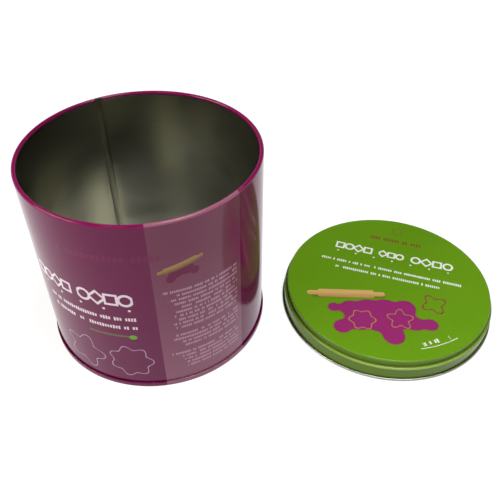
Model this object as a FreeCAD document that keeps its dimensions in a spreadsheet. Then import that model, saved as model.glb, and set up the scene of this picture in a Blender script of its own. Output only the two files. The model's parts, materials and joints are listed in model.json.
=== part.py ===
"""Round slip-lid storage tin, standing open with its lid on the table beside it.

Three pieces of tinplate: a rolled wall with a locked side seam and a curled mouth, a base end
seamed on round the foot, and a drawn lid with a raised panel and a curled edge.

Millimetres. The table is z = 0, +Z is up, and the lid lies on the +X side of the tin.
Each piece is one strip of sheet drawn as a section in the XZ plane and turned about Z.
"""
import FreeCAD, Part
import math
import os

import Sketcher

os.makedirs("parts", exist_ok=True)

DRIVING_SIZES = [
    # alias, size, what it is
    ("tin_diameter", 120.0, "outside of the wall, where the lid slides on"),
    ("tin_height", 108.0, "table to the top of the mouth curl"),
    ("sheet", 0.25, "thickness of the tinplate"),
    ("mouth_curl", 2.2, "outside diameter of the inward curl round the mouth"),
    ("seam_height", 3.0, "height of the double seam round the foot"),
    ("seam_gap", 0.06, "slack between two layers of the double seam"),
    ("foot_bend", 0.5, "outside radius of the base end where it stands on the table"),
    ("ring_rise", 1.4, "how far the ring just inside the foot stands above the double seam"),
    ("ring_width", 6.0, "width of that ring"),
    ("base_step", 1.2, "how far the middle of the base end drops below that ring"),
    ("bend", 0.3, "inside radius of a pressed bend"),
    ("side_seam_width", 3.6, "width of the folded side seam, inside the wall"),
    ("side_seam_turn", 119.0, "where the side seam is, in degrees round from +X"),
    ("mouth_notch_width", 4.6, "width of the notch in the mouth curl at the side seam"),
    ("lid_fit", 0.2, "radial clearance between the lid's skirt and the wall"),
    ("shoulder_height", 9.0, "table to the top of the lid's shoulder"),
    ("panel_rise", 4.5, "how far the lid's panel stands above its shoulder"),
    ("panel_inset", 0.1, "how far the riser stands in from the crown of the mouth curl"),
    ("panel_edge", 0.7, "outside radius of the panel's edge"),
    ("shoulder_edge", 0.8, "outside radius of the shoulder's edge"),
    ("lid_curl", 1.4, "outside diameter of the outward curl round the lid's edge"),
    ("lid_gap", 11.87, "table left clear between the tin's foot and the lid's edge"),
]

document = FreeCAD.newDocument("slip_lid_tin")
sizes = document.addObject("Spreadsheet::Sheet", "sizes")
for row, (alias, size, meaning) in enumerate(DRIVING_SIZES, start=1):
    sizes.set(f"A{row}", meaning)
    sizes.set(f"B{row}", str(size))
    sizes.setAlias(f"B{row}", alias)
document.recompute()

# Sizes that follow from the driving ones, as expressions on the spreadsheet.
SHEET = "sizes.sheet"
WALL = "sizes.tin_diameter / 2"
WALL_INSIDE = f"{WALL} - {SHEET}"
LAYER = f"({SHEET} + sizes.seam_gap)"
SEAM = f"{WALL} + 3 * {LAYER}"
HOOK_TURN = f"(1.5 * {SHEET} + sizes.seam_gap)"
MOUTH_CURL_RADIUS = "sizes.mouth_curl / 2"
LID_CURL_RADIUS = "sizes.lid_curl / 2"
SKIRT = f"{WALL} + sizes.lid_fit + {SHEET}"
LID_EDGE = f"{SKIRT} - {SHEET} + sizes.lid_curl"
PANEL = f"{WALL} - {MOUTH_CURL_RADIUS} - sizes.panel_inset"
COUNTERSINK = "sizes.seam_height + sizes.ring_rise"
TIN_PLACE = f"-({LID_EDGE} + sizes.lid_gap / 2)"
LID_PLACE = f"{SEAM} + sizes.lid_gap / 2"
DEGREES = "180 / pi"

HEADINGS = {"out": (1, 0), "down": (0, -1), "in": (-1, 0), "up": (0, 1)}
TURN_RIGHT = {"out": "down", "down": "in", "in": "up", "up": "out"}
TURN_LEFT = {after: before for before, after in TURN_RIGHT.items()}


def origin_plane(body, role):
    """The body's own origin plane or axis with this role."""
    return next(item for item in body.Origin.OriginFeatures if item.Role == role)


def new_sketch(body, name):
    """A sketch of the body in its XZ plane: sketch x is the radius, sketch y the height."""
    sketch = body.newObject("Sketcher::SketchObject", name)
    sketch.AttachmentSupport = [(origin_plane(body, "XZ_Plane"), "")]
    sketch.MapMode = "FlatFace"
    return sketch


class SectionPen:
    """Draws a closed, fully constrained outline of straight runs and quarter turns.

    Every place is an expression on the spreadsheet. The value of each expression only puts the
    geometry where the constraints will hold it.
    """

    def __init__(self, sketch, radius, height):
        self.sketch = sketch
        self.place = (radius, height)
        self.first = None
        self.last = None

    def value(self, expression):
        return float(self.sketch.evalExpression(expression))

    def point(self, place):
        return FreeCAD.Vector(self.value(place[0]), self.value(place[1]), 0)

    def tie(self, kind, geometry, vertex, expression):
        """Holds one coordinate of a vertex at an expression."""
        held = Sketcher.Constraint(kind, geometry, vertex, self.value(expression))
        number = self.sketch.addConstraint(held)
        self.sketch.setExpression(f"Constraints[{number}]", expression)

    def join(self, geometry, vertex):
        """Starts the outline at a vertex, or ties the vertex to the end of the last side."""
        if self.last is None:
            self.tie("DistanceX", geometry, vertex, self.place[0])
            self.tie("DistanceY", geometry, vertex, self.place[1])
            self.first = (geometry, vertex)
        else:
            self.sketch.addConstraint(Sketcher.Constraint("Coincident", *self.last, geometry, vertex))

    def run(self, radius=None, height=None):
        """A straight run to a new radius or a new height."""
        target = (radius or self.place[0], height or self.place[1])
        line = self.sketch.addGeometry(Part.LineSegment(self.point(self.place), self.point(target)))
        self.join(line, 1)
        if radius:
            self.sketch.addConstraint(Sketcher.Constraint("Horizontal", line))
            self.tie("DistanceX", line, 2, radius)
        else:
            self.sketch.addConstraint(Sketcher.Constraint("Vertical", line))
            self.tie("DistanceY", line, 2, height)
        self.last = (line, 2)
        self.place = target

    def run_level(self, target):
        self.run(radius=target[0])

    def run_upright(self, target):
        self.run(height=target[1])

    def quarter(self, centre, end, clockwise):
        """A quarter turn about a centre, to an end level with or straight above or below it."""
        start, finish, middle = self.point(self.place), self.point(end), self.point(centre)
        radius = (start - middle).Length
        angles = [math.atan2(p.y - middle.y, p.x - middle.x) for p in (start, finish)]
        ends = (2, 1) if clockwise else (1, 2)
        if clockwise:
            angles.reverse()
        circle = Part.Circle(middle, FreeCAD.Vector(0, 0, 1), radius)
        arc = self.sketch.addGeometry(Part.ArcOfCircle(circle, *angles))
        self.tie("DistanceX", arc, 3, centre[0])
        self.tie("DistanceY", arc, 3, centre[1])
        self.join(arc, ends[0])
        level = "Horizontal" if end[1] == centre[1] else "Vertical"
        self.sketch.addConstraint(Sketcher.Constraint(level, arc, 3, arc, ends[1]))
        self.last = (arc, ends[1])
        self.place = end

    def close(self):
        """The last straight side, back to where the outline began."""
        side = Part.LineSegment(self.point(self.place), self.sketch.getPoint(*self.first))
        line = self.sketch.addGeometry(side)
        self.join(line, 1)
        self.sketch.addConstraint(Sketcher.Constraint("Coincident", line, 2, *self.first))


def moved(place, heading, distance):
    """A place moved along a heading by the length that an expression gives."""
    across, up = HEADINGS[heading]
    signs = {1: "+", -1: "-"}
    return tuple(
        f"{coordinate} {signs[way]} ({distance})" if way else coordinate
        for coordinate, way in zip(place, (across, up))
    )


def draw_strip(sketch, start, heading, steps):
    """Outlines a strip of sheet that lies to the right of a route.

    Each step is ("to", place), a straight run to that radius or height, or ("left" or "right",
    radius), a quarter turn of the route. The route is one face of the strip; the other face is
    drawn on the way back, one sheet thickness to the right of it.
    """
    pen = SectionPen(sketch, *start)
    way_back = []
    for action, amount in steps:
        upright = heading in ("up", "down")
        far_start = moved(pen.place, TURN_RIGHT[heading], SHEET)
        if action == "to":
            way_back.append((pen.run_upright if upright else pen.run_level, far_start))
            pen.run(height=amount) if upright else pen.run(radius=amount)
        else:
            following = TURN_RIGHT[heading] if action == "right" else TURN_LEFT[heading]
            centre = moved(pen.place, following, amount)
            way_back.append((pen.quarter, centre, far_start, action == "left"))
            pen.quarter(centre, moved(centre, heading, amount), action == "right")
            heading = following
    far_end = moved(pen.place, TURN_RIGHT[heading], SHEET)
    if heading in ("up", "down"):
        pen.run_level(far_end)
    else:
        pen.run_upright(far_end)
    for draw, *places in reversed(way_back):
        draw(*places)
    pen.close()


def draw_block(sketch, inner, outer, bottom, top):
    """Outlines a rectangle between two radii and two heights."""
    pen = SectionPen(sketch, inner, bottom)
    pen.run(radius=outer)
    pen.run(height=top)
    pen.run(radius=inner)
    pen.close()


def turned(body, kind, sketch, name, angle=None):
    """Turns a sketch about the body's Z axis: right round, or an arc centred on its plane."""
    feature = body.newObject(f"PartDesign::{kind}", name)
    feature.Profile = sketch
    feature.ReferenceAxis = (sketch, ["V_Axis"])
    if angle is None:
        feature.Angle = 360
    else:
        feature.Midplane = True
        feature.setExpression("Angle", angle)
    return feature


def new_body(name):
    body = document.addObject("PartDesign::Body", name)
    body.Label = name
    return body


# The wall's strip starts at the free end of its hook in the double seam. It goes down, round the
# hook and up the inside of the wall, and curls inward at the mouth.
wall = new_body("body_wall")
wall_section = new_sketch(wall, "wall_section")
curl_inside = f"{MOUTH_CURL_RADIUS} - {SHEET}"
draw_strip(
    wall_section,
    (f"{WALL} + 2 * {LAYER}", f"sizes.seam_height - {HOOK_TURN} - sizes.seam_gap"),
    "down",
    [
        ("to", f"{LAYER} + {HOOK_TURN}"),
        ("right", HOOK_TURN),
        ("right", HOOK_TURN),
        ("to", f"sizes.tin_height - {MOUTH_CURL_RADIUS}"),
        ("left", curl_inside),
        ("left", curl_inside),
        ("left", curl_inside),
    ],
)
turned(wall, "Revolution", wall_section, "wall_sheet")

# The locked side seam is a flat fold, three more layers of sheet on the inside of the wall. It
# runs from the base end's ring to the mouth curl. The body is turned so that it faces +X here.
fold_section = new_sketch(wall, "side_seam_section")
draw_block(
    fold_section,
    f"{WALL_INSIDE} - 3 * {SHEET}",
    f"{WALL} - {SHEET} / 2",
    f"{COUNTERSINK} + 2 * {SHEET}",
    f"sizes.tin_height - sizes.mouth_curl - {SHEET}",
)
turned(wall, "Revolution", fold_section, "side_seam",
       f"sizes.side_seam_width / ({WALL}) * {DEGREES}")

# The curl is cut back to the line of the wall where the side seam would not let it roll.
notch_section = new_sketch(wall, "mouth_notch_section")
draw_block(
    notch_section,
    f"{WALL} - sizes.mouth_curl - {SHEET}",
    f"{WALL} - {MOUTH_CURL_RADIUS}",
    f"sizes.tin_height - sizes.mouth_curl - {SHEET} / 2",
    f"sizes.tin_height + {SHEET}",
)
turned(wall, "Groove", notch_section, "mouth_notch",
       f"sizes.mouth_notch_width / ({WALL}) * {DEGREES}")
wall.setExpression("Placement.Base.x", TIN_PLACE)
wall.Placement.Rotation = FreeCAD.Rotation(FreeCAD.Vector(0, 0, 1), 0)
wall.setExpression("Placement.Rotation.Angle", "sizes.side_seam_turn")

# The base end's strip starts at its hook, beside the wall. It goes up over the wall's hook, down
# the outside of the double seam, under the foot, up the inside of the wall and in to the middle.
base = new_body("base_end")
base_section = new_sketch(base, "base_section")
ring_inside = f"{WALL_INSIDE} - {SHEET} - sizes.ring_width"
base_floor = f"{COUNTERSINK} - sizes.base_step"
draw_strip(
    base_section,
    (f"{WALL} + sizes.seam_gap", f"{LAYER} + {HOOK_TURN} + sizes.seam_gap"),
    "up",
    [
        ("to", f"sizes.seam_height - {HOOK_TURN}"),
        ("right", HOOK_TURN),
        ("right", HOOK_TURN),
        ("to", "sizes.foot_bend"),
        ("right", "sizes.foot_bend"),
        ("to", f"{WALL_INSIDE} - {SHEET} + sizes.foot_bend"),
        ("right", "sizes.foot_bend"),
        ("to", f"{COUNTERSINK} - sizes.bend"),
        ("left", "sizes.bend"),
        ("to", f"{ring_inside} + sizes.bend"),
        ("left", "sizes.bend"),
        ("to", f"{base_floor} + sizes.bend + {SHEET}"),
        ("right", f"sizes.bend + {SHEET}"),
        ("to", "0"),
    ],
)
turned(base, "Revolution", base_section, "base_sheet")
base.setExpression("Placement.Base.x", TIN_PLACE)

# The lid's strip starts in the middle of its panel. It goes out to the panel's edge, down the
# riser, out over the shoulder, down the skirt and round the curl at its edge.
lid = new_body("slip_lid")
lid_section = new_sketch(lid, "lid_section")
lid_curl_inside = f"{LID_CURL_RADIUS} - {SHEET}"
draw_strip(
    lid_section,
    ("0", "sizes.shoulder_height + sizes.panel_rise"),
    "out",
    [
        ("to", f"{PANEL} - sizes.panel_edge"),
        ("right", "sizes.panel_edge"),
        ("to", "sizes.shoulder_height + sizes.bend"),
        ("left", "sizes.bend"),
        ("to", f"{SKIRT} - sizes.shoulder_edge"),
        ("right", "sizes.shoulder_edge"),
        ("to", LID_CURL_RADIUS),
        ("left", lid_curl_inside),
        ("left", lid_curl_inside),
        ("left", lid_curl_inside),
    ],
)
turned(lid, "Revolution", lid_section, "lid_sheet")
lid.setExpression("Placement.Base.x", LID_PLACE)

document.recompute()

for item in document.Objects:
    if {"Invalid", "Error"} & set(item.State):
        raise RuntimeError(f"{item.Name} did not build: {item.State}")
for body in (wall, base, lid):
    if body.Shape.isNull() or not body.Shape.isValid():
        raise RuntimeError(f"{body.Label} is not a sound solid")
    body.Shape.exportStep(f"parts/{body.Label}.step")
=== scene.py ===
"""Looks of a round slip-lid storage tin that stands open, with its lid on the table beside it.

Three pieces of printed tinplate take the places of the three CAD solids. Each is a strip of sheet
carried round an axis, with the fold, the curls, the rolled seam and the small faults of pressed
tinplate. The print is flat shapes worked out from distances, in millimetres on the sheet.
"""
import json
import math

import bpy
import numpy as np
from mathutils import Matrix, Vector


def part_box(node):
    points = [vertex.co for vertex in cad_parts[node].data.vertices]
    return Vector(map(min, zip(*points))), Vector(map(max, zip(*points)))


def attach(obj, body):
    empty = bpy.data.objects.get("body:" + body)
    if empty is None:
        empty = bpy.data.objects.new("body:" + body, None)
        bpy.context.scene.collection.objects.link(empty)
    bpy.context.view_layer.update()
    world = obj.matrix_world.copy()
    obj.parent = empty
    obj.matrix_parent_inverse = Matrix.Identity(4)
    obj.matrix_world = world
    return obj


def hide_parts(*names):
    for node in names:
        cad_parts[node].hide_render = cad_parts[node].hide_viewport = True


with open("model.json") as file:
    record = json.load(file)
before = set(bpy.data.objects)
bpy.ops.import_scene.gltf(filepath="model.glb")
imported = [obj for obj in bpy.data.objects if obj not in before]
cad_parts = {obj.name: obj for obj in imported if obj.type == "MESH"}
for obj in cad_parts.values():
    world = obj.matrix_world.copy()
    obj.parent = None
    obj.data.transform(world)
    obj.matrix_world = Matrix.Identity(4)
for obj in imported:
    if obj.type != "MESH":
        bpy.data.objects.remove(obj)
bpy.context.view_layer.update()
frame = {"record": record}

# ---------------------------------------------------------------- sizes, in metres
MM = 0.001
SHEET = 0.25 * MM
SLACK = 0.06 * MM  # between two layers of the double seam
LAYER = SHEET + SLACK
HOOK_TURN = 1.5 * SHEET + SLACK  # radius of the turns in the double seam
BEND = 0.3 * MM  # inside radius of a pressed bend
HOLD = 0.12 * MM  # from a bend to the nearest row of the flat beside it
ROUND_OFF = 0.01 * MM  # room for rounding, where a face is picked out by its radius

MOUTH_CURL = 2.2 * MM  # outside diameter
SIDE_SEAM = math.radians(119.0)  # round from +X
FOLD_HALF = 1.8 * MM  # the side seam's fold: half its width at the wall, and on top
FOLD_TOP_HALF = 1.0 * MM
FOLD_SOFT = 0.3 * MM  # width of the slopes at the fold's sides
SOFT = 0.5 * MM  # and at its ends, and at the sides of the notch
GROOVE = 0.12 * MM  # beside the fold, outside: its depth and half width
GROOVE_HALF = 0.18 * MM
NOTCH_HALF = 2.3 * MM  # where the mouth curl is cut back over the fold
CURL_TURN = math.radians(270)
NOTCH_TURN = math.radians(105)
CURL_POINTS = 30
FLAT_BEFORE = (0.35 * MM, 7 * MM)  # flats before and after the side seam: depth and reach
FLAT_AFTER = (0.1 * MM, 3 * MM)
WAVE = 0.03 * MM  # slow waves of the wall, how many go round, and radians to a metre of height
WAVES_ROUND = 3
WAVES_UP = 40
FOOT_KEPT = (12 * MM, 16 * MM)  # where flats and waves come in above the foot, and how softly
MOUTH_KEPT = (7 * MM, 12 * MM)  # and go out below the mouth

SEAM_HEIGHT = 3.0 * MM
FOOT_BEND = 0.5 * MM
RING_RISE = 1.4 * MM  # the base's flat ring above the double seam, and its width
RING_WIDTH = 6.0 * MM
BASE_STEP = 1.2 * MM
RIB_RISE = 0.35 * MM
RIBS = ((38 * MM, 5 * MM), (16 * MM, 4 * MM))  # radius and half width of each round rib
RIB_MARGIN = 3 * MM  # from the flat ring to where ribs begin
BASE_MIDDLE = 2.0 * MM  # radius of the fan of triangles that closes the middle

LID_CURL = 1.4 * MM  # outside diameter
LID_FIT = 0.2 * MM  # the skirt's clearance on the wall
SHOULDER_HEIGHT = 9.0 * MM
SHOULDER_EDGE = 0.8 * MM
PANEL_INSET = 0.1 * MM
PANEL_EDGE = 0.7 * MM
DISH = 0.22 * MM  # how far the lid's panel sinks, and how much that varies round it
DISH_WAVE = 0.06 * MM
LID_MIDDLE = 1.0 * MM  # as BASE_MIDDLE

mounts = {mount["name"]: mount for mount in frame["record"]["mounts"]}
base_low, base_high = np.array(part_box("base_end"))
TIN_X = (base_low[0] + base_high[0]) / 2
LID_X = mounts["lid_top"]["pos_m"][0]
MOUTH_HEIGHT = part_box("body_wall")[1][2]
LID_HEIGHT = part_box("slip_lid")[1][2]
SKIRT = mounts["lid_skirt"]["dims"]["r_mm"] * MM + SHEET  # outside of the lid's skirt
WALL = SKIRT - SHEET - LID_FIT  # outside of the tin's wall
PANEL = WALL - MOUTH_CURL / 2 - PANEL_INSET  # outside of the lid's raised panel


# ---------------------------------------------------------------- sheet-metal surfaces
def strip(start, heading, steps):
    """Route of a strip of sheet in the (radius, height) plane, with its right-hand normals.

    A step ("to", coordinate, count) is a straight run to a radius or a height. A step
    ("left" or "right", radius, count) is a quarter turn: the centre stands one radius to that
    side, and the route is centre + radius * (cos, sin) of an angle that grows evenly.
    """
    place = np.array(start, float)
    turn = math.radians(heading)
    points = [place[None]]
    normals = [np.array([[math.sin(turn), -math.cos(turn)]])]
    for kind, amount, count in steps:
        along = np.array([math.cos(turn), math.sin(turn)])
        if kind == "to":
            axis = int(abs(along[1]) > 0.5)
            end = place.copy()
            end[axis] = amount
            long = abs(amount - place[axis])
            near = min(HOLD, long / 4) / long
            part = np.unique(np.append(np.linspace(0, 1, count + 1)[1:], [near, 1 - near]))[:, None]
            points.append(place + part * (end - place))
            normals.append(np.repeat([[along[1], -along[0]]], len(part), axis=0))
            place = end
        else:
            part = np.linspace(0, 1, count + 1)[1:]
            side = 1 if kind == "left" else -1
            centre = place + side * amount * np.array([-along[1], along[0]])
            angle = turn + side * part * math.pi / 2
            spoke = np.stack([np.sin(angle), -np.cos(angle)], axis=1)
            points.append(centre + side * amount * spoke)
            normals.append(spoke)
            place = points[-1][-1]
            turn = angle[-1]
    return np.concatenate(points), np.concatenate(normals)


def both_faces(route, normals):
    """The two faces of the sheet: the route, and the route one sheet thickness to its right."""
    return route.copy(), route + SHEET * normals


def turned_piece(name, axis_x, angles, radius, height, finishes, which, pole=None):
    """A surface of revolution whose section may change round the axis.

    Point (i, j) stands at axis + radius[i, j] * (cos, sin)(angles[i]), at height[i, j]. The
    outline closes on itself, or on two points of the axis at the heights in pole. The face after
    point j has the finish numbered which[j].
    """
    turns, spots = radius.shape
    x = axis_x + radius * np.cos(angles)[:, None]
    y = radius * np.sin(angles)[:, None]
    verts = np.stack([x, y, height], axis=-1).reshape(-1, 3)
    i = np.arange(turns)[:, None]
    following = (i + 1) % turns
    closed = pole is None
    j = np.arange(spots if closed else spots - 1)[None, :]
    beyond = (j + 1) % spots
    quads = np.stack([i * spots + j, following * spots + j,
                      following * spots + beyond, i * spots + beyond], axis=-1).reshape(-1, 4)
    finish = np.broadcast_to(which[None, : j.size], (turns, j.size)).reshape(-1)
    triangles = np.zeros((0, 3), int)
    if not closed:
        low, high = len(verts), len(verts) + 1
        verts = np.vstack([verts, [[axis_x, 0, pole[0]], [axis_x, 0, pole[1]]]])
        first, after = i[:, 0] * spots, following[:, 0] * spots
        end = spots - 1
        triangles = np.vstack([np.stack([first, np.full(turns, low), after], axis=1),
                               np.stack([first + end, after + end, np.full(turns, high)], axis=1)])
        finish = np.concatenate([finish, np.full(turns, which[0]), np.full(turns, which[-1])])
    corners = verts[quads]
    volume = np.einsum("ni,ni->", np.cross(corners[:, 0], corners[:, 1]), corners[:, 2])
    volume += np.einsum("ni,ni->", np.cross(corners[:, 0], corners[:, 2]), corners[:, 3])
    if volume < 0:  # turned inside out
        quads, triangles = quads[:, ::-1], triangles[:, ::-1]
    mesh = bpy.data.meshes.new(name)
    mesh.from_pydata(verts.tolist(), [], quads.tolist() + triangles.tolist())
    for material in finishes:
        mesh.materials.append(material)
    mesh.polygons.foreach_set("material_index", finish.astype(np.int32))
    mesh.polygons.foreach_set("use_smooth", np.ones(len(mesh.polygons), bool))
    mesh.update()
    return placed(name, mesh)


def placed(name, data):
    """A new object in the scene, at the origin."""
    thing = bpy.data.objects.new(name, data)
    bpy.context.scene.collection.objects.link(thing)
    return thing


def rise(edge, width, value):
    """A smooth step from 0 to 1, centred on an edge."""
    part = np.clip((value - edge) / width + 0.5, 0, 1)
    return part * part * (3 - 2 * part)


def hill(offset, width):
    """A smooth hill of height 1: exp(-(offset / width) squared)."""
    return np.exp(-((offset / width) ** 2))


# ---------------------------------------------------------------- finishes
def ink(red, green, blue):
    """A printer's 0-255 colour as light."""
    part = np.array([red, green, blue]) / 255
    light = np.where(part <= 0.04045, part / 12.92, ((part + 0.055) / 1.055) ** 2.4)
    return (*light.tolist(), 1.0)


class Wire:
    """A socket that takes part in sums: each operator adds a Math node."""

    def __init__(self, finish, socket):
        self.finish, self.socket = finish, socket

    def __add__(self, other):
        return self.finish.sum("ADD", self, other)

    def __sub__(self, other):
        return self.finish.sum("SUBTRACT", self, other)

    def __rsub__(self, other):
        return self.finish.sum("SUBTRACT", other, self)

    def __mul__(self, other):
        return self.finish.sum("MULTIPLY", self, other)

    def __truediv__(self, other):
        return self.finish.sum("DIVIDE", self, other)

    def __neg__(self):
        return self * -1

    def __abs__(self):
        return self.finish.sum("ABSOLUTE", self)

    def __pow__(self, other):
        return self.finish.sum("POWER", self, other)

    def __mod__(self, other):
        return self.finish.sum("FLOORED_MODULO", self, other)

    __radd__, __rmul__ = __add__, __mul__


class Finish:
    """The nodes of a material, or of the world, under construction."""

    def __init__(self, owner):
        owner.use_nodes = True
        self.owner, self.tree = owner, owner.node_tree
        self.tree.nodes.clear()

    def node(self, kind, settings, *values, take=0, **named):
        """Adds a node: its settings first, then the values or links of its sockets, in order or
        by name. Returns the output numbered take, or all of them if take is None."""
        node = self.tree.nodes.new(kind)
        for key, setting in settings.items():
            setattr(node, key, setting)
        by_name = [(key.replace("_", " "), value) for key, value in named.items()]
        for key, value in [*enumerate(values), *by_name]:
            if isinstance(value, Wire):
                self.tree.links.new(value.socket, node.inputs[key])
            elif value is not None:
                node.inputs[key].default_value = value
        wires = [Wire(self, output) for output in node.outputs]
        return wires[take] if wires and take is not None else wires

    def sum(self, operation, *values):
        return self.node("ShaderNodeMath", {"operation": operation}, *values)

    def larger(self, first, *others):
        for other in others:
            first = self.sum("MAXIMUM", first, other)
        return first

    def smaller(self, first, *others):
        for other in others:
            first = self.sum("MINIMUM", first, other)
        return first

    def whole(self, value):
        return self.sum("FLOOR", value)

    def length(self, x, y):
        return (x * x + y * y) ** 0.5

    def fill(self, distance, blur=0.12):
        """1 inside a shape, where its distance is negative, and 0 outside, with a soft edge."""
        return self.node("ShaderNodeMath", {"operation": "MULTIPLY_ADD", "use_clamp": True},
                         distance, -1 / blur, 0.5)

    def between(self, value, low, high, blur=0.12):
        return self.fill(abs(value - (low + high) / 2) - (high - low) / 2, blur)

    def mix(self, below, above, share):
        return self.node("ShaderNodeMix", {"data_type": "RGBA"}, share, None, None, None, None,
                         None, below, above, take=2)

    def noise(self, vector, scale, detail=2.0, rough=0.5):
        return self.node("ShaderNodeTexNoise", {}, vector, None, scale, detail, rough)

    def streaks(self, vector, scale, detail, rough=0.5, turn=0.0):
        """Noise drawn out along an axis: scale is its fineness along X, Y and Z."""
        return self.noise(self.node("ShaderNodeMapping", {}, vector, (0, 0, 0), (0, 0, turn), scale),
                          1.0, detail, rough)

    def chance(self, a, b, seed):
        """An even random number for each pair of whole numbers."""
        spot = self.node("ShaderNodeCombineXYZ", {}, a, b, seed)
        return self.node("ShaderNodeTexWhiteNoise", {"noise_dimensions": "3D"}, spot)

    def place(self):
        return self.node("ShaderNodeTexCoord", {}, take=3)

    def split(self, vector):
        return self.node("ShaderNodeSeparateXYZ", {}, vector, take=None)

    def laid(self, vector, x=0, y=0, turn=0.0):
        """Coordinates in millimetres from a point on a flat print, turned by some degrees."""
        moved = self.node("ShaderNodeMapping", {"vector_type": "TEXTURE"}, vector, (x, y, 0),
                          (0, 0, math.radians(turn)), (1, 1, 1))
        return self.split(moved)[:2]

    def bump(self, height, strength, distance):
        return self.node("ShaderNodeBump", {}, strength, distance, Height=height)

    def surface(self, **sockets):
        """The Principled shader, with its sockets given by name, out to the surface."""
        shader = self.node("ShaderNodeBsdfPrincipled", {}, **sockets)
        self.node("ShaderNodeOutputMaterial", {}, shader)
        return self.owner


# ---------------------------------------------------------------- shapes of the print
HARD = 0.01  # blur of an edge that is a choice, not a line to see
TICK_HALF = 0.34  # half a tick's width, as a part of its cell
SHORTEST_TICK = 0.62  # as a part of the tallest
TICKS_LEFT_OUT = 0.2
ROWS_LEFT_OUT = 0.1


def bar(f, x, y, long, tall, corner=0.0):
    """Distance to a bar about the origin, its corners rounded."""
    over = f.larger(abs(x) - (long / 2 - corner), 0.0)
    under = f.larger(abs(y) - (tall / 2 - corner), 0.0)
    return f.length(over, under) - corner


def ticks(f, x, y, left, right, top, pitch, tall, wide, seed, rows=1, ragged=0.0):
    """Rows of short upright ticks in groups, where a label has its small print.

    Rows and ticks are whole-number cells. A random number for each cell leaves some ticks out
    and shortens others. In ragged rows, one random number for each row starts it late by up to
    ragged, and another leaves some rows out.
    """
    row = f.whole((top - y) / pitch)
    down = (top - y) - (row + 0.5) * pitch
    cell = f.whole(x / wide)
    across = x - (cell + 0.5) * wide
    chance = f.chance(cell, row, seed)
    here = f.fill(abs(across) - wide * TICK_HALF)
    here = here * f.fill(abs(down) - tall / 2 * (SHORTEST_TICK + (1 - SHORTEST_TICK) * chance))
    here = here * f.fill(TICKS_LEFT_OUT - chance, HARD) * f.between(row, -0.4, rows - 0.6, 0.1)
    if ragged:
        left = left + f.chance(row, 3.0, seed) * ragged
        here = here * f.fill(ROWS_LEFT_OUT - f.chance(row, 7.0, seed), HARD)
    return here * f.fill(left - x) * f.fill(x - right)


def tiles(f, x, y, pitch, size, stroke, count, first=0):
    """A row of outlined rounds, squares and diamonds.

    Each cell takes one of three distances, by its number modulo 3, scaled so that all look the
    same size. The outline is where that distance is within half a stroke of the tile's size.
    """
    cell = f.whole(x / pitch)
    across = x - (cell + 0.5) * pitch
    kind = (cell * 2 + (1 + first)) % 3
    square = f.larger(abs(across), abs(y)) * 1.08
    diamond = (abs(across) + abs(y)) * 0.8
    is_square = f.between(kind, 0.5, 1.5, 0.1)
    is_diamond = f.between(kind, 1.5, 2.5, 0.1)
    distance = f.length(across, y) * (1 - is_square - is_diamond)
    distance = distance + square * is_square + diamond * is_diamond
    here = f.fill(abs(distance - (size - stroke) / 2) - stroke / 2)
    return here * f.between(cell, -0.4, count - 0.6, 0.1)


def dots(f, x, y, spacing, size, left, right):
    """A row of dots along y = 0: x is folded to and fro, so that each fold ends at a dot."""
    folded = f.sum("PINGPONG", x, spacing)
    return f.fill(f.length(folded, y) - size) * f.between(x, left, right)


def cutter(f, x, y, size, lobes, depth, stroke):
    """Outline of a lobed biscuit cutter: radius = size * (1 + depth * cos(lobes * angle))."""
    wave = f.sum("COSINE", f.sum("ARCTAN2", y, x) * lobes)
    return f.fill(abs(f.length(x, y) - size * (1 + depth * wave)) - stroke / 2)


def dough(f, x, y, lumps, blend):
    """Distance to a rolled-out dough: the smooth minimum of the distances to round lumps."""
    nearest = None
    for at_x, at_y, radius in lumps:
        away = f.length(x - at_x, y - at_y) - radius
        nearest = away if nearest is None else f.sum("SMOOTH_MIN", nearest, away, blend)
    return nearest


def rolling_pin(f, x, y, long, thick):
    """Masks of a rolling pin about the origin: the whole pin, and the shade along its lower side."""
    barrel = bar(f, x, y, long * 0.72, thick, thick * 0.2)
    handles = bar(f, x, y, long, thick * 0.56, thick * 0.27)
    neck = bar(f, x, y, long * 0.8, thick * 0.4)
    pin = f.fill(f.smaller(barrel, handles, neck))
    shade = f.fill(y + thick * 0.12, thick * 0.5)
    return pin, shade


# ---------------------------------------------------------------- the lid's print
FINE = 900  # fineness of the mottle in both prints
GRASS = ink(94, 142, 14)
PALE_GRASS = ink(104, 150, 24)
DARK_GRASS = ink(86, 132, 20)
# colour of the painted shade down the lid's sides
SHADED_SIDE_GREEN = ink(82, 104, 20)
# colour of the painted highlight along the lid's shoulder
HIGHLIGHT_GREEN = ink(168, 196, 104)
DOUGH_RIM = ink(112, 92, 36)
DOUGH = ink(138, 36, 98)
PALE_DOUGH = ink(150, 44, 110)
GOLD = ink(176, 130, 74)
RED = ink(134, 40, 60)
PIN_SHADOW = ink(96, 58, 40)
WOOD = ink(214, 178, 112)
WOOD_GRAIN = ink(196, 156, 92)
WOOD_SHADE = ink(172, 128, 74)
WHITE = ink(236, 238, 226)
BROWN = ink(122, 88, 36)
TITLE_TURN = -20  # the lid's title and small print slope, in degrees
LID_DOUGH = (  # x, y and radius of each lump, in millimetres from the lid's middle
    (-34.5, -19, 3.0), (-25, -20, 5.4), (-15, -20.5, 6.6), (-5, -20.5, 6.2), (6, -21.4, 5.8),
    (-31.5, -33.6, 4.6), (-21, -29, 7.4), (-10, -30, 8), (1.5, -29, 7), (-4.5, -41.4, 5.8),
    (9, -33.4, 4.4), (17.4, -34.2, 4.0),
)


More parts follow.
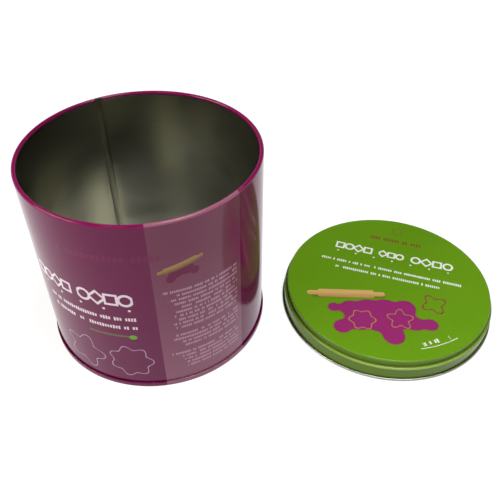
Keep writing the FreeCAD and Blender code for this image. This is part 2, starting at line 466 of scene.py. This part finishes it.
def lid_baking(f, from_centre, x, y, cloud, colour):
    """The dough with its cutters, and the rolling pin on its shadow."""
    field = dough(f, x, y, LID_DOUGH, 7.0)
    colour = f.mix(colour, DOUGH_RIM, f.fill(field - 0.35, 0.4) * 0.8)
    colour = f.mix(colour, f.mix(DOUGH, PALE_DOUGH, cloud), f.fill(field))
    flower = cutter(f, *f.laid(from_centre, -19.6, -29, -6), 6.6, 6, 0.13, 0.6)
    star = cutter(f, *f.laid(from_centre, 1.5, -29.5, 10), 6.0, 5, 0.24, 0.6)
    colour = f.mix(colour, GOLD, f.larger(flower, star))
    clover = cutter(f, *f.laid(from_centre, 23, -19, 20), 5.8, 4, 0.26, 0.85)
    colour = f.mix(colour, RED, clover)

    pin_x, pin_y = f.laid(from_centre, -25.8, -8.6, -4)
    pin, shade = rolling_pin(f, pin_x, pin_y, 45, 6.2)
    shadow = f.fill(bar(f, pin_x - 1.2, pin_y + 0.9, 42, 5.4, 1.4), 1.2) * 0.45
    colour = f.mix(colour, PIN_SHADOW, shadow)
    grain = f.streaks(from_centre, (0.08, 1.6, 1), 3, turn=0.05)
    wood = f.mix(f.mix(WOOD, WOOD_GRAIN, grain), WOOD_SHADE, shade * 0.75)
    return f.mix(colour, wood, pin)


def lid_small_print(f, from_centre, colour):
    """The title's tiles and dots, two rows of ticks, a short row over a curve, and at the top a
    brown row under a ring."""
    x, y = f.laid(from_centre, turn=TITLE_TURN)
    title_y = y - 24.2
    title = f.larger(tiles(f, x + 36, title_y, pitch=5.8, size=6.2, stroke=1.25, count=4),
                     tiles(f, x + 9, title_y, pitch=5.2, size=5.6, stroke=1.2, count=3, first=1),
                     tiles(f, x - 10.6, title_y, pitch=6.4, size=6.4, stroke=1.25, count=4, first=2),
                     dots(f, x, y - 18.9, 5.6, 0.6, -34, 34))
    rows = f.larger(ticks(f, x, y, -42, 42, 12.4, pitch=4.6, tall=2.1, wide=1.2, seed=3.0),
                    ticks(f, x, y, -32, 30, 6.4, pitch=4.0, tall=2.1, wide=1.2, seed=8.0))
    age_x, age_y = f.laid(from_centre, 17.8, -46.6, 17)
    age = ticks(f, age_x, age_y, -8, 8, 2.6, pitch=3.0, tall=2.8, wide=1.5, seed=5.0)
    curve = f.fill(abs(f.length(age_x, age_y - 60) - 61.9) - 0.2) * f.between(age_x, -10.5, 12)
    colour = f.mix(colour, WHITE, f.larger(title, rows, age, curve) * 0.93)
    brown = ticks(f, x, y, -16.5, 15, 40.2, pitch=4.0, tall=3.2, wide=1.7, seed=11.0)
    ring = f.fill(abs(f.length(x + 1, y - 48) - 3.0) - 0.5)
    return f.mix(colour, BROWN, f.larger(brown, ring * 0.5))


def lid_edges(f, spot, x, y, height, colour):
    """Painted shade and painted highlight: darker green down the sides, where light from above falls
    at a slant, and a pale band along the shoulder, stronger on the near side.
    """
    # painted shade: the sides below the panel's top are darkened, where light from above falls at a
    # slant
    side = f.fill(height - LID_HEIGHT / MM + 0.9, 0.5)
    colour = f.mix(colour, SHADED_SIDE_GREEN, side * 0.85)
    # painted highlight: a pale band on the shoulder's outer edge, stronger toward the near side and
    # broken up by noise
    shoulder = f.fill(SKIRT / MM - 0.95 - f.length(x, y), 0.25)
    shoulder = shoulder * f.between(height, SHOULDER_HEIGHT / MM - 0.75, 20, 0.3)
    shoulder_highlight = shoulder * f.fill(y + 40, 60) * (0.3 + 0.7 * f.noise(spot, 60))
    return f.mix(colour, HIGHLIGHT_GREEN, shoulder_highlight)


def printed_lid():
    """Green satin print of the lid, its shapes placed in millimetres from the lid's middle."""
    f = Finish(bpy.data.materials.new("green_print"))
    spot = f.place()
    from_centre = f.node("ShaderNodeMapping", {"vector_type": "TEXTURE"}, spot, (LID_X, 0, 0),
                         (0, 0, 0), (MM, MM, MM))
    x, y = f.laid(from_centre)
    mottle = f.noise(spot, FINE, 3)
    cloud = f.noise(spot, 30, 3)
    colour = f.mix(GRASS, PALE_GRASS, cloud)
    colour = f.mix(colour, DARK_GRASS, f.fill(0.62 - mottle, 0.2) * 0.35)
    colour = lid_baking(f, from_centre, x, y, cloud, colour)
    colour = lid_small_print(f, from_centre, colour)
    colour = lid_edges(f, spot, x, y, f.split(spot)[2] / MM, colour)
    scuff = f.streaks(from_centre, (0.03, 1.4, 0.2), 5, 0.6, turn=0.7)
    return f.surface(Base_Color=colour, Roughness=0.13 + 0.06 * cloud + 0.05 * scuff,
                     Specular_IOR_Level=0.22, Normal=f.bump(mottle + 2 * cloud, 0.04, 0.2 * MM))


# ---------------------------------------------------------------- the wall's print
PANEL_EDGE_TURN = -82.5  # where a plum panel meets the mauve one, in degrees round from +X
AROUND = WALL / MM * math.pi / 180  # millimetres round the wall to a degree
MAUVE_WIDTH = 47.0  # millimetres
BARE_HALF = 5.5  # half the bare strip along the side seam, in millimetres
BARE_TOP = 2.4  # and how far below the mouth it ends
BRIM_DOWN = 1.0  # how far down the mouth curl is inked more strongly
PLUM = ink(92, 10, 60)
PALE_PLUM = ink(102, 16, 68)
# lit and shaded copies of the mauve print: paler near the foot as painted light from the floor,
# darker toward the mouth as painted shade
MAUVE = ink(136, 84, 106)
SHADED_MAUVE_ABOVE = ink(104, 46, 70)
FAINT = ink(112, 30, 74)
PALE_PRINT = ink(238, 226, 234)
LEAF = ink(98, 150, 40)
LILAC = ink(196, 178, 214)
DARK_DOUGH = ink(98, 14, 58)
DIM_WOOD = ink(150, 118, 70)
DIM_WOOD_SHADE = ink(112, 78, 52)
PINK = ink(200, 160, 180)
BARE_METAL = ink(196, 196, 192)
BRIM = ink(126, 10, 74)
BRIM_ON_MAUVE = ink(160, 96, 120)
RUBBED_PLUM = ink(196, 176, 180)
WALL_DOUGH = ((11, 79, 3.4), (16, 80, 3.6), (20, 77.5, 2.2), (8.5, 75.5, 2.2))


def plum_panel(f, x, y, colour):
    """A faint row, the title's tiles and dots, two rows of ticks, a green rule that ends in a
    leaf, and two lilac cutters. Everything is left of x = 0, but for the end of the faint row."""
    faint = ticks(f, x, y, -44, 5, 92.0, pitch=5.0, tall=3.6, wide=2.6, seed=21.0)
    colour = f.mix(colour, FAINT, faint * 0.6)
    title_y = y - 64.0
    title = f.larger(tiles(f, x + 68, title_y, pitch=6.6, size=7.4, stroke=1.4, count=4),
                     tiles(f, x + 38, title_y, pitch=7.0, size=8.0, stroke=1.45, count=4, first=2),
                     dots(f, x, y - 57.4, 6.2, 0.7, -62, -11))
    rows = f.larger(ticks(f, x, y, -60, -10, 53.2, pitch=4.0, tall=2.5, wide=1.4, seed=31.0),
                    ticks(f, x, y, -58, -10, 47.2, pitch=4.0, tall=2.5, wide=1.4, seed=37.0))
    colour = f.mix(colour, PALE_PRINT, f.larger(title, rows) * 0.75)
    leaf = f.fill(f.length(x + 13, (y - 38.5) * 1.3) - 2.0)
    rule = ticks(f, x, y, -36, -15, 40.4, pitch=3.0, tall=1.5, wide=1.3, seed=43.0)
    colour = f.mix(colour, LEAF, f.larger(leaf, rule * 0.5))
    lilac = f.larger(cutter(f, x + 43, y - 19.5, 10.2, 5, 0.22, 0.55),
                     cutter(f, x + 16.5, y - 19.5, 10.4, 7, 0.12, 0.55))
    return f.mix(colour, LILAC, lilac * 0.6)


def mauve_panel(f, x, y, ahead, colour):
    """A small dough under a rolling pin, over a paragraph of ragged rows."""
    field = dough(f, x, y, WALL_DOUGH, 1.5)
    colour = f.mix(colour, DARK_DOUGH, f.fill(field, 0.3) * ahead)
    flat = f.node("ShaderNodeCombineXYZ", {}, x, y, 0.0)
    pin, shade = rolling_pin(f, *f.laid(flat, 13.6, 82.4, 13), 22.5, 3.6)
    colour = f.mix(colour, f.mix(DIM_WOOD, DIM_WOOD_SHADE, shade), pin * ahead)
    rows = ticks(f, x, y, 3.5, 44, 68.6, pitch=2.75, tall=1.7, wide=0.9, seed=53.0, rows=21,
                 ragged=9.0)
    return f.mix(colour, PINK, rows * ahead * 0.6)


def printed_wall():
    """Glossy print of the wall.

    x is millimetres round the wall from the edge between a plum panel, below 0, and the mauve
    one, above 0, and y is millimetres above the table. The plum panel comes twice round the tin
    and the mauve one once, on the half where ahead is 1, with plain plum between. The sheet is
    left bare along the side seam.
    """
    f = Finish(bpy.data.materials.new("magenta_print"))
    spot = f.place()
    east, north, up = f.split(spot)
    azimuth = f.sum("ARCTAN2", north, east - TIN_X) * (180 / math.pi)
    half = (azimuth - PANEL_EDGE_TURN) % 180
    x = (half - 180 * f.fill(90 - half, HARD)) * AROUND
    y = up / MM
    ahead = f.fill(abs(azimuth - PANEL_EDGE_TURN - 45) - 90, 0.1)
    pale = f.fill(-x, 0.25) * f.fill(x - MAUVE_WIDTH, 0.25) * ahead
    cloud = f.noise(spot, 26, 3)
    mottle = f.noise(spot, FINE, 3)
    plum = f.mix(PLUM, PALE_PLUM, cloud)
    # painted light and shade: the mauve is paler toward the foot, where the floor lights the wall
    # and is reflected in it, and darker toward the mouth
    mauve = f.mix(MAUVE, SHADED_MAUVE_ABOVE, f.fill(45 - y, 90) * 0.8 + 0.2 * cloud)
    colour = plum_panel(f, x, y, f.mix(plum, mauve, pale))
    colour = mauve_panel(f, x, y, ahead, colour)

    below_mouth = MOUTH_HEIGHT / MM - y
    from_seam = abs((azimuth - math.degrees(SIDE_SEAM) + 180) % 360 - 180) * AROUND
    bare = f.fill(from_seam - BARE_HALF, 0.3) * f.fill(BARE_TOP - below_mouth, 0.6)
    colour = f.mix(colour, BARE_METAL, bare)
    brim = f.fill(below_mouth - BRIM_DOWN, 0.5)
    colour = f.mix(colour, f.mix(BRIM, BRIM_ON_MAUVE, pale), brim * 0.7)
    rub = f.streaks(spot, (160, 160, 22), 5, 0.62)
    edges = f.larger(brim * 0.4, f.fill(y - 3.2, 0.6))
    colour = f.mix(colour, RUBBED_PLUM, f.fill(0.66 - rub, 0.08) * edges * 0.15)
    return f.surface(Base_Color=colour, Metallic=bare,
                     Roughness=0.07 + 0.05 * cloud + 0.05 * rub + 0.15 * bare,
                     Specular_IOR_Level=0.23, Normal=f.bump(mottle + 3 * cloud, 0.02, 0.2 * MM))


def tinplate(name, dark, light, roughness, grain=(40, 40, 1400), variation=0.12, brushed=1.0):
    """Rolled tinplate: drawn-out grain, dull clouds and small spots."""
    f = Finish(bpy.data.materials.new(name))
    spot = f.place()
    lines = f.streaks(spot, grain, 3, 0.6)
    cloud = f.noise(spot, 34, 4, 0.6)
    spots = f.noise(spot, 420, 3, 0.6)
    colour = f.mix(ink(*dark), ink(*light), 0.6 * cloud + 0.3 * lines + 0.1 * spots)
    rough = roughness + variation * (cloud - 0.5) + 0.1 * brushed * (lines - 0.5) + 0.05 * spots
    return f.surface(Base_Color=colour, Metallic=1.0, Roughness=rough,
                     Normal=f.bump(lines + 0.6 * spots, 0.02 * brushed, 0.1 * MM))


green_print = printed_lid()
magenta_print = printed_wall()
dull_inside = tinplate("dull_tinplate_inside", dark=(172, 171, 157), light=(190, 189, 176),
                       roughness=0.19, variation=0.10, brushed=0.3)
bare_metal = tinplate("bare_tinplate", dark=(150, 153, 147), light=(182, 184, 177),
                      roughness=0.36, grain=(1400, 60, 60))
base_metal = tinplate("base_tinplate", dark=(150, 150, 146), light=(184, 184, 178), roughness=0.38)

# ---------------------------------------------------------------- the wall
# turns of the section, in degrees from the side seam: close together beside it
near_seam = np.arange(-7.0, 7.01, 0.125)
far_from_seam = np.arange(8.0, 352.5, 1.0)
angles = SIDE_SEAM + np.radians(np.concatenate([near_seam, far_from_seam]))
apart = (angles - SIDE_SEAM + math.pi) % (2 * math.pi) - math.pi
off_seam = np.abs(apart)[:, None] * WALL

curl_centre = np.array([WALL - MOUTH_CURL / 2, MOUTH_HEIGHT - MOUTH_CURL / 2])
body_route, body_normals = strip(
    (WALL + 2 * LAYER, SEAM_HEIGHT - HOOK_TURN - SLACK), 270,
    [("to", LAYER + HOOK_TURN, 2), ("right", HOOK_TURN, 4), ("right", HOOK_TURN, 4),
     ("to", curl_centre[1], 24)],
)
notch = 1 - rise(NOTCH_HALF, SOFT, off_seam)
turn = CURL_TURN + (NOTCH_TURN - CURL_TURN) * notch
bent = math.pi / 2 + turn * np.linspace(0, 1, CURL_POINTS + 1)[1:]
curl_normals = np.stack([np.sin(bent), -np.cos(bent)], axis=-1)
curl_route = curl_centre + (MOUTH_CURL / 2 - SHEET) * curl_normals


def around(part):
    """The same section at every angle."""
    return np.broadcast_to(part, (len(angles), *part.shape))


def dent(face):
    """How far the sheet stands in of the true round: a flat either side of the side seam, which
    is depth * exp(-distance / reach), and a slow wave. Both leave the mouth and the foot round."""
    height = face[..., 1]
    free = rise(*FOOT_KEPT, height) * (1 - rise(MOUTH_HEIGHT - MOUTH_KEPT[0], MOUTH_KEPT[1], height))
    free = free * (face[..., 0] < WALL + ROUND_OFF)
    before, after = (depth * np.exp(-off_seam / reach) for depth, reach in (FLAT_BEFORE, FLAT_AFTER))
    flat = np.where(apart[:, None] < 0, before, after)
    wave = WAVE * (1 + np.sin(WAVES_ROUND * angles[:, None] + WAVES_UP * height))
    return free * (flat + wave)


def folded_in(face):
    """How far the side seam's fold stands in: two sheets, and a third across its middle."""
    height = face[..., 1]
    low, high = SEAM_HEIGHT + RING_RISE + 2 * SHEET, MOUTH_HEIGHT - MOUTH_CURL - SHEET
    on_wall = (face[..., 0] < WALL - SHEET / 2) & (height < curl_centre[1] - 0.2 * MM)
    tall = rise(low, SOFT, height) * (1 - rise(high, SOFT, height))
    layers = 2 * (1 - rise(FOLD_HALF, FOLD_SOFT, off_seam))
    layers = layers + 1 - rise(FOLD_TOP_HALF, FOLD_SOFT, off_seam)
    return on_wall * tall * layers * SHEET


def joint_line(face):
    """Depth of the fine groove outside, where the sheet's edge meets the fold."""
    groove = GROOVE * hill(apart[:, None] * WALL - FOLD_HALF, GROOVE_HALF)
    above_foot = rise(SEAM_HEIGHT + 0.4 * MM, 0.4 * MM, face[..., 1])
    return groove * above_foot * (face[..., 0] < WALL + ROUND_OFF)


inner, outer = both_faces(np.concatenate([around(body_route), curl_route], axis=1),
                          np.concatenate([around(body_normals), curl_normals], axis=1))
inner[..., 0] -= dent(inner)
outer[..., 0] -= dent(outer)
inner[..., 0] -= folded_in(inner)
outer[..., 0] -= joint_line(outer)
loop = np.concatenate([inner, outer[:, ::-1]], axis=1)
which = np.concatenate([np.zeros(inner.shape[1]), np.ones(outer.shape[1])])
body_wall = turned_piece("printed_wall", TIN_X, angles, loop[..., 0], loop[..., 1],
                         (dull_inside, magenta_print), which)

# ---------------------------------------------------------------- the base end
even = np.radians(np.arange(0, 360, 1.0))
countersink = SEAM_HEIGHT + RING_RISE
ring_inside = WALL - 2 * SHEET - RING_WIDTH
base_floor = countersink - BASE_STEP
under, over = both_faces(*strip(
    (WALL + SLACK, LAYER + HOOK_TURN + SLACK), 90,
    [("to", SEAM_HEIGHT - HOOK_TURN, 2), ("right", HOOK_TURN, 5), ("right", HOOK_TURN, 5),
     ("to", FOOT_BEND, 3), ("right", FOOT_BEND, 6), ("to", WALL - 2 * SHEET + FOOT_BEND, 1),
     ("right", FOOT_BEND, 6), ("to", countersink - BEND, 4), ("left", BEND, 5),
     ("to", ring_inside + BEND, 3), ("left", BEND, 5), ("to", base_floor + BEND + SHEET, 1),
     ("right", BEND + SHEET, 6), ("to", BASE_MIDDLE, 34)],
))


def ribs(face):
    """How far the stiffening ribs stand up: the sum of a smooth hill across each one's width."""
    radius = face[:, 0]
    hills = sum(hill(radius - middle, width) for middle, width in RIBS)
    return (radius < ring_inside - RIB_MARGIN) * RIB_RISE * hills


under[:, 1] += ribs(under)
over[:, 1] += ribs(over)
section = np.concatenate([under[::-1], over])
outside_seam = (section[:, 0] > WALL + LAYER * 0.4) & (np.arange(len(section)) < len(under))
base_end = turned_piece("seamed_base", TIN_X, even, np.tile(section[:, 0], (len(even), 1)),
                        np.tile(section[:, 1], (len(even), 1)), (base_metal, magenta_print),
                        outside_seam.astype(int), (section[0, 1], section[-1, 1]))

# ---------------------------------------------------------------- the lid
lid_curl_turn = LID_CURL / 2 - SHEET
top, inside = both_faces(*strip(
    (LID_MIDDLE, LID_HEIGHT), 0,
    [("to", PANEL - PANEL_EDGE, 36), ("right", PANEL_EDGE, 8), ("to", SHOULDER_HEIGHT + BEND, 3),
     ("left", BEND, 5), ("to", SKIRT - SHOULDER_EDGE, 1), ("right", SHOULDER_EDGE, 8),
     ("to", LID_CURL / 2, 6)] + [("left", lid_curl_turn, 6)] * 3,
))
section = np.concatenate([top, inside[::-1]])
which = (np.arange(len(section)) >= len(top) - 1).astype(int)
radius = np.tile(section[:, 0], (len(even), 1))
height = np.tile(section[:, 1], (len(even), 1))
dish = rise(10 * MM, 60 * MM, PANEL - radius) * (height > SHOULDER_HEIGHT + 1 * MM)
height = height - dish * (DISH + DISH_WAVE * np.sin(2 * even[:, None]))
slip_lid = turned_piece("printed_lid", LID_X, even, radius, height, (green_print, bare_metal),
                        which, (height[:, 0].mean(), height[:, -1].mean()))

for piece, body, node, slot in (
    (body_wall, "tin", "body_wall", "wall_print"),
    (base_end, "tin", "base_end", "base_tinplate"),
    (slip_lid, "lid", "slip_lid", "lid_print"),
):
    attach(piece, body)
    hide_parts(node)

# ---------------------------------------------------------------- floor, light and camera
FLOOR_REACH = 3.0
FLOOR_HEIGHT = -0.02 * MM  # a hair below the tin
FLOOR_GLOW = 0.80
FLOOR_TONE = ink(146, 146, 146)
FLOOR_CLOUD = ink(142, 142, 142)
OVERHEAD = (0.06, 0.063, 0.066, 1.0)
HORIZON = (0.93, 0.93, 0.93, 1.0)


def pale_floor():
    """A wide plain sheet that glows a little, so that it stays even in the shadows."""
    f = Finish(bpy.data.materials.new("pale_floor"))
    tone = f.mix(FLOOR_TONE, FLOOR_CLOUD, f.noise(f.place(), 8))
    finish = f.surface(Base_Color=tone, Roughness=0.9, Emission_Color=(1, 1, 1, 1),
                       Emission_Strength=FLOOR_GLOW)
    corners = np.array([[-1, -1], [1, -1], [1, 1], [-1, 1]]) * FLOOR_REACH
    mesh = bpy.data.meshes.new("floor")
    mesh.from_pydata(np.column_stack([corners, np.full(4, FLOOR_HEIGHT)]).tolist(), [],
                     [[0, 1, 2, 3]])
    mesh.materials.append(finish)
    return placed("floor", mesh)


def studio_world():
    """A room that is dark overhead and pale down at the horizon."""
    world = bpy.data.worlds.new("studio")
    f = Finish(world)
    up = f.split(f.node("ShaderNodeTexCoord", {}))[2]
    room = f.mix(OVERHEAD, HORIZON, f.fill(up - 0.2, 0.3))
    f.node("ShaderNodeOutputWorld", {}, f.node("ShaderNodeBackground", {}, room))
    return world


def softbox(name, place, target, size, power, tint=(1, 1, 1)):
    """A rectangular area light that faces a point."""
    light = bpy.data.lights.new(name, "AREA")
    light.shape = "RECTANGLE"
    light.size, light.size_y = size
    light.energy = power
    light.color = tint
    lamp = placed(name, light)
    lamp.location = place
    lamp.rotation_euler = (Vector(target) - Vector(place)).to_track_quat("-Z", "Y").to_euler()


floor = pale_floor()
bpy.context.scene.world = studio_world()
softbox("key", (0.24, -0.10, 1.22), (0, 0, 0.03), size=(0.40, 0.40), power=12)
softbox("front", (-0.45, -0.60, 1.15), (0.02, 0, 0.03), size=(0.34, 0.10), power=1.2)
softbox("window", (-1.0, -0.25, 0.70), (TIN_X, 0, 0.07), size=(0.74, 0.30), power=10.5,
        tint=(1.0, 0.98, 0.84))

CAMERA_FROM_TIN = (46.005 * MM, -250.481 * MM, 263.998 * MM)
CAMERA_DOWN = 41.71  # degrees below level, and to the right of the +Y way
CAMERA_RIGHT = 1.64
CAMERA_LENS = 43.256  # in millimetres, on a sensor 36 mm wide

camera_data = bpy.data.cameras.new("camera")
camera_data.lens = CAMERA_LENS
camera_data.sensor_width = 36.0
camera = placed("camera", camera_data)
camera.location = (TIN_X + CAMERA_FROM_TIN[0], *CAMERA_FROM_TIN[1:])
camera.rotation_euler = (math.radians(90 - CAMERA_DOWN), 0, math.radians(-CAMERA_RIGHT))
bpy.context.scene.camera = camera
bpy.context.scene.view_settings.view_transform = "Standard"
